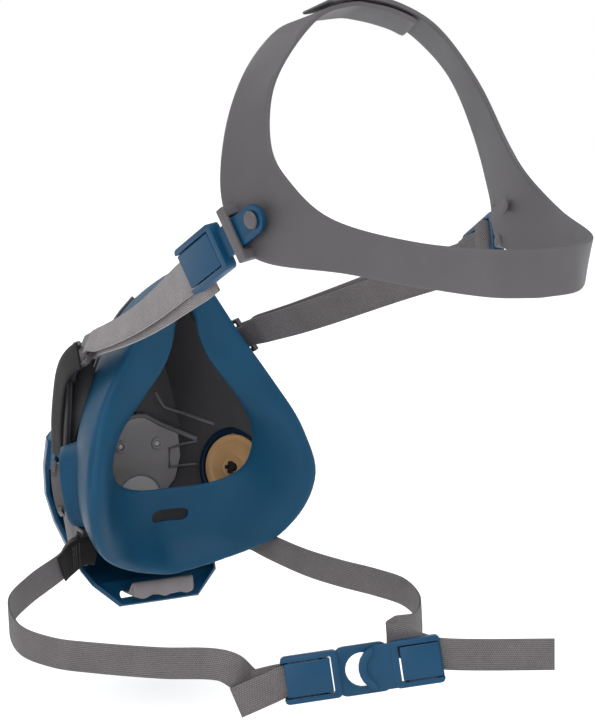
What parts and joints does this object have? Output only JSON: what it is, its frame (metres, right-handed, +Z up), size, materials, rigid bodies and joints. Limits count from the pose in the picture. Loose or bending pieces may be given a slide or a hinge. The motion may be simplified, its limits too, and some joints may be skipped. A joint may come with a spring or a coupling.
{
  "type": "respirator",
  "caption": "Reusable half-mask respirator: silicone facepiece with twin filter ports, quick latch, moulded head cradle and neck strap.",
  "frame": {"origin": "middle of the face seal's opening, on the wearer's side", "axes": "+Z up from chin to nose, -Y out of the front of the mask, +X to the wearer's left"},
  "size_m": [0.1496, 0.3117, 0.2471],
  "materials": {
    "silicone_blue": "satin silicone",
    "plastic_blue": "semi-gloss moulded",
    "plastic_grey": "moulded",
    "plastic_dark": "moulded",
    "plastic_light": "moulded",
    "cradle_grey": "soft moulded",
    "webbing_grey": "woven",
    "webbing_dark": "woven",
    "valve_tan": "smooth",
    "gasket_black": "smooth"
  },
  "bodies": {
    "mask": {"face_seal": "silicone_blue", "center_adapter": "plastic_dark", "left_bayonet": "plastic_grey", "right_bayonet": "plastic_grey", "left_port_gasket": "gasket_black", "right_port_gasket": "gasket_black", "exhalation_seat": "plastic_light", "front_cover": "plastic_dark", "harness_yoke": "plastic_grey", "left_arm_strap": "webbing_dark", "right_arm_strap": "webbing_dark", "left_latch_pin": "plastic_grey", "right_latch_pin": "plastic_grey", "left_cover_screw": "plastic_light", "right_cover_screw": "plastic_light"},
    "left_inlet_valve": {"left_inhalation_flap": "valve_tan"},
    "right_inlet_valve": {"right_inhalation_flap": "valve_tan"},
    "outlet_valve": {"exhalation_flap": "gasket_black"},
    "latch": {"quick_latch": "plastic_blue", "latch_web": "webbing_grey"},
    "head_harness": {"head_cradle": "cradle_grey", "left_upper_strap": "webbing_grey", "right_upper_strap": "webbing_grey", "left_cradle_buckle": "plastic_blue", "right_cradle_buckle": "plastic_blue", "left_pivot_stud": "cradle_grey", "right_pivot_stud": "cradle_grey"},
    "left_cradle_lock": {"left_cradle_cam": "plastic_blue"},
    "right_cradle_lock": {"right_cradle_cam": "plastic_blue"},
    "neck_harness": {"left_neck_strap": "webbing_grey", "right_neck_strap": "webbing_grey", "neck_buckle_ring": "plastic_blue", "neck_buckle_hook": "plastic_blue"},
    "left_neck_lock": {"left_neck_cam": "plastic_blue"},
    "right_neck_lock": {"right_neck_cam": "plastic_blue"}
  },
  "joints": [
    {"name": "left_inlet_lift", "type": "slide", "parent": "mask", "child": "left_inlet_valve", "axis": [-0.8576, 0.4951, 0.1392], "range_m": [0, 0.0012], "stiffness_N_per_m": 20, "springref_m": -0.0004},
    {"name": "right_inlet_lift", "type": "slide", "parent": "mask", "child": "right_inlet_valve", "axis": [0.8576, 0.4951, 0.1392], "range_m": [0, 0.0012], "stiffness_N_per_m": 20, "springref_m": -0.0004},
    {"name": "outlet_lift", "type": "slide", "parent": "mask", "child": "outlet_valve", "axis": [0, -0.9404, -0.3401], "range_m": [0, 0.0015], "stiffness_N_per_m": 20, "springref_m": -0.0004},
    {"name": "latch_swing", "type": "hinge", "parent": "mask", "child": "latch", "pos_m": [0, -0.0586, 0.002], "axis": [1, 0, 0], "range_deg": [-40, 0]},
    {"name": "head_harness_tilt", "type": "hinge", "parent": "mask", "child": "head_harness", "pos_m": [0, -0.0249, 0.0336], "axis": [1, 0, 0], "range_deg": [-12, 12]},
    {"name": "left_cradle_lock_lift", "type": "hinge", "parent": "head_harness", "child": "left_cradle_lock", "pos_m": [0.05628, 0.12134, 0.0831], "axis": [0.2316, -0.4261, 0.8745], "range_deg": [0, 50]},
    {"name": "right_cradle_lock_lift", "type": "hinge", "parent": "head_harness", "child": "right_cradle_lock", "pos_m": [-0.05628, 0.12134, 0.0831], "axis": [0.2316, 0.4261, -0.8745], "range_deg": [0, 50]},
    {"name": "neck_harness_tilt", "type": "hinge", "parent": "mask", "child": "neck_harness", "pos_m": [0, -0.0384, -0.052], "axis": [1, 0, 0], "range_deg": [-13, 3]},
    {"name": "left_neck_lock_lift", "type": "hinge", "parent": "neck_harness", "child": "left_neck_lock", "pos_m": [0.01248, 0.12209, -0.06593], "axis": [0.0594, -0.1929, 0.9794], "range_deg": [0, 50]},
    {"name": "right_neck_lock_lift", "type": "hinge", "parent": "neck_harness", "child": "right_neck_lock", "pos_m": [-0.00971, 0.1343, -0.06218], "axis": [-0.0594, 0.1929, -0.9794], "range_deg": [0, 50]}
  ]
}
